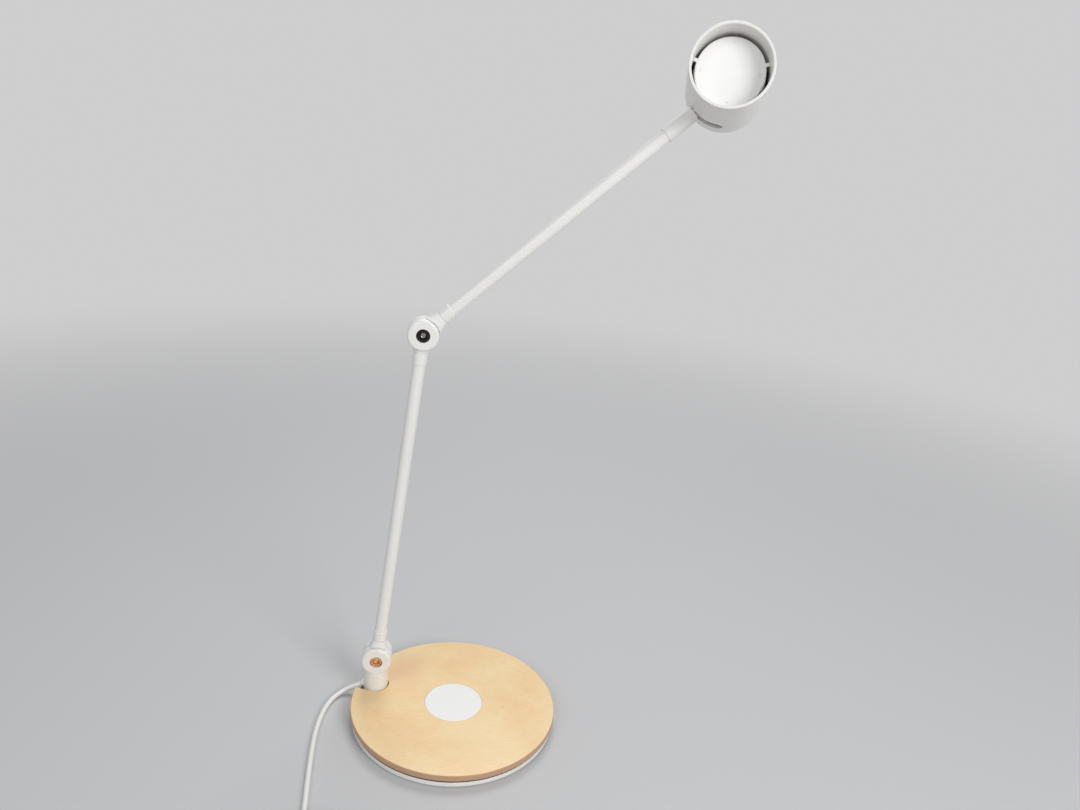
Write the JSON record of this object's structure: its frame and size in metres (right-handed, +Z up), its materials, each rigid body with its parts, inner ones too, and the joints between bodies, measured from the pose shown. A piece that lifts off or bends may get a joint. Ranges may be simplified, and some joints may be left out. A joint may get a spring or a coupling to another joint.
{
  "type": "desk lamp",
  "caption": "Articulated desk lamp: can-shaped head on hinged tube arms with hollow pivots, weighted round wooden base with a charging pad, and a coiled supply lead.",
  "frame": {"origin": "centre of the base's underside, on the table", "axes": "+Z up; the arms lie in a plane parallel to XZ, leaning toward +X; the lamp's front is -Y"},
  "size_m": [0.3032, 0.2901, 0.5536],
  "materials": {
    "white_coat": "white powder coat, satin",
    "white_steel": "white powder coat, satin",
    "dark_steel": "blackened, matt",
    "bright_steel": "turned steel",
    "birch": "clear gloss lacquer over pale veneer",
    "white_plastic": "white, smooth",
    "diffuser": "opal",
    "foot": "thin matt sheet",
    "dark_plastic": "moulded",
    "sink": "turned",
    "copper": "enamelled copper winding",
    "ferrite": "sintered",
    "board": "solder mask",
    "white_board": "white solder mask",
    "led": "phosphor",
    "lead": "white sheath",
    "tie": "hook-and-loop strap",
    "pins": "plated"
  },
  "bodies": {
    "base": {"foot_pad": "foot", "base_plate": "white_steel", "ballast_disc": "dark_steel", "wood_top": "birch", "base_screws": "bright_steel", "post_screws": "bright_steel", "pad_cover": "white_plastic", "charging_coil": "copper", "ferrite_plate": "ferrite", "charger_board": "board", "post": "white_coat", "cord_grommet": "white_plastic", "swivel_ring": "white_coat", "cord_lead": "lead", "cord_coil": "lead", "cord_ties": "tie", "adapter_body": "white_plastic", "adapter_pins": "pins"},
    "turret": {"yoke": "white_coat", "swivel_nut": "bright_steel", "shoulder_sleeve": "bright_steel", "shoulder_nut": "bright_steel", "shoulder_washer": "dark_plastic"},
    "lower_arm": {"lower_arm_foot": "white_coat", "lower_collars": "white_coat", "lower_tube": "white_coat", "lower_arm_head": "white_coat", "elbow_sleeve": "bright_steel", "elbow_nut": "bright_steel", "elbow_washer": "dark_plastic"},
    "upper_arm": {"upper_arm_foot": "white_coat", "upper_collar": "white_coat", "upper_tube": "white_coat", "head_sleeve": "white_coat"},
    "head": {"neck_pin": "bright_steel", "neck_clip": "bright_steel", "heat_sink": "sink", "glide_ring": "dark_plastic", "led_board": "white_board", "led_chips": "led", "diffuser_holder": "white_plastic", "diffuser": "diffuser", "dimmer": "dark_plastic"},
    "shade": {"dimmer_shaft": "bright_steel", "shade_can": "white_coat"}
  },
  "joints": [
    {"name": "base_swivel", "type": "hinge", "parent": "base", "child": "turret", "pos_m": [-0.06636, 0.02259, 0.027], "axis": [0, 0, 1], "range_deg": [-150, 150]},
    {"name": "shoulder_tilt", "type": "hinge", "parent": "turret", "child": "lower_arm", "pos_m": [-0.06636, 0.02259, 0.04], "axis": [0, 1, 0], "range_deg": [-35, 60]},
    {"name": "elbow_tilt", "type": "hinge", "parent": "lower_arm", "child": "upper_arm", "pos_m": [-0.04018, 0.02259, 0.32379], "axis": [0, -1, 0], "range_deg": [-64, 40]},
    {"name": "head_swivel", "type": "hinge", "parent": "upper_arm", "child": "head", "pos_m": [0.16078, 0.02259, 0.51516], "axis": [0.7242, 0, 0.6896], "range_deg": [-170, 170]},
    {"name": "shade_twist", "type": "hinge", "parent": "head", "child": "shade", "pos_m": [0.16078, 0.02259, 0.51516], "axis": [0.2438, 0.9354, -0.256], "range_deg": [0, 38]}
  ]
}
